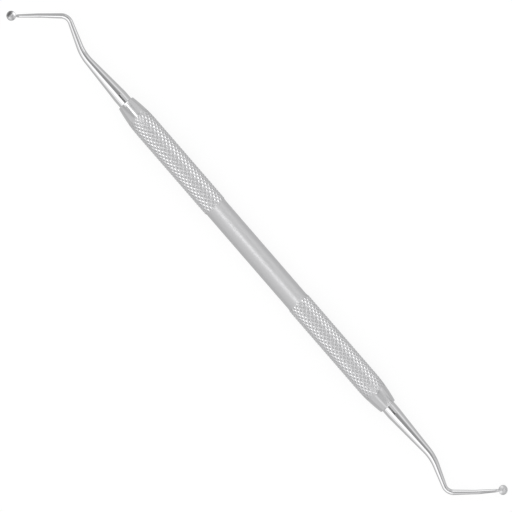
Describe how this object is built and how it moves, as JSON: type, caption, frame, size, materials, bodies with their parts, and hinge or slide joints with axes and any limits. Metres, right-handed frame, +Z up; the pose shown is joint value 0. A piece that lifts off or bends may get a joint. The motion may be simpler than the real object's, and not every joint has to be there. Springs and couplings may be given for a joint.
{
  "type": "dental spoon excavator",
  "caption": "Double-ended dental spoon excavator: round knurled steel handle with a plain waist, and at each end a tapered, angled shank with a small round spoon",
  "frame": {"origin": "The middle of the instrument, on the axis of its straight round handle", "axes": "+X runs along the handle to the end whose spoon shows its rounded back; the shanks bend in the XY plane; +Z is up, out of the surface that the instrument lies on, and the spoon at the -X end opens to it"},
  "size_m": [0.1726, 0.0179, 0.0062],
  "materials": {
    "satin_steel": "satin-bright turned and knurled stainless steel",
    "polished_steel": "mirror-polished stainless steel"
  },
  "bodies": {
    "root": {"handle": "satin_steel", "left_working_end": "polished_steel", "right_working_end": "polished_steel"}
  },
  "joints": []
}
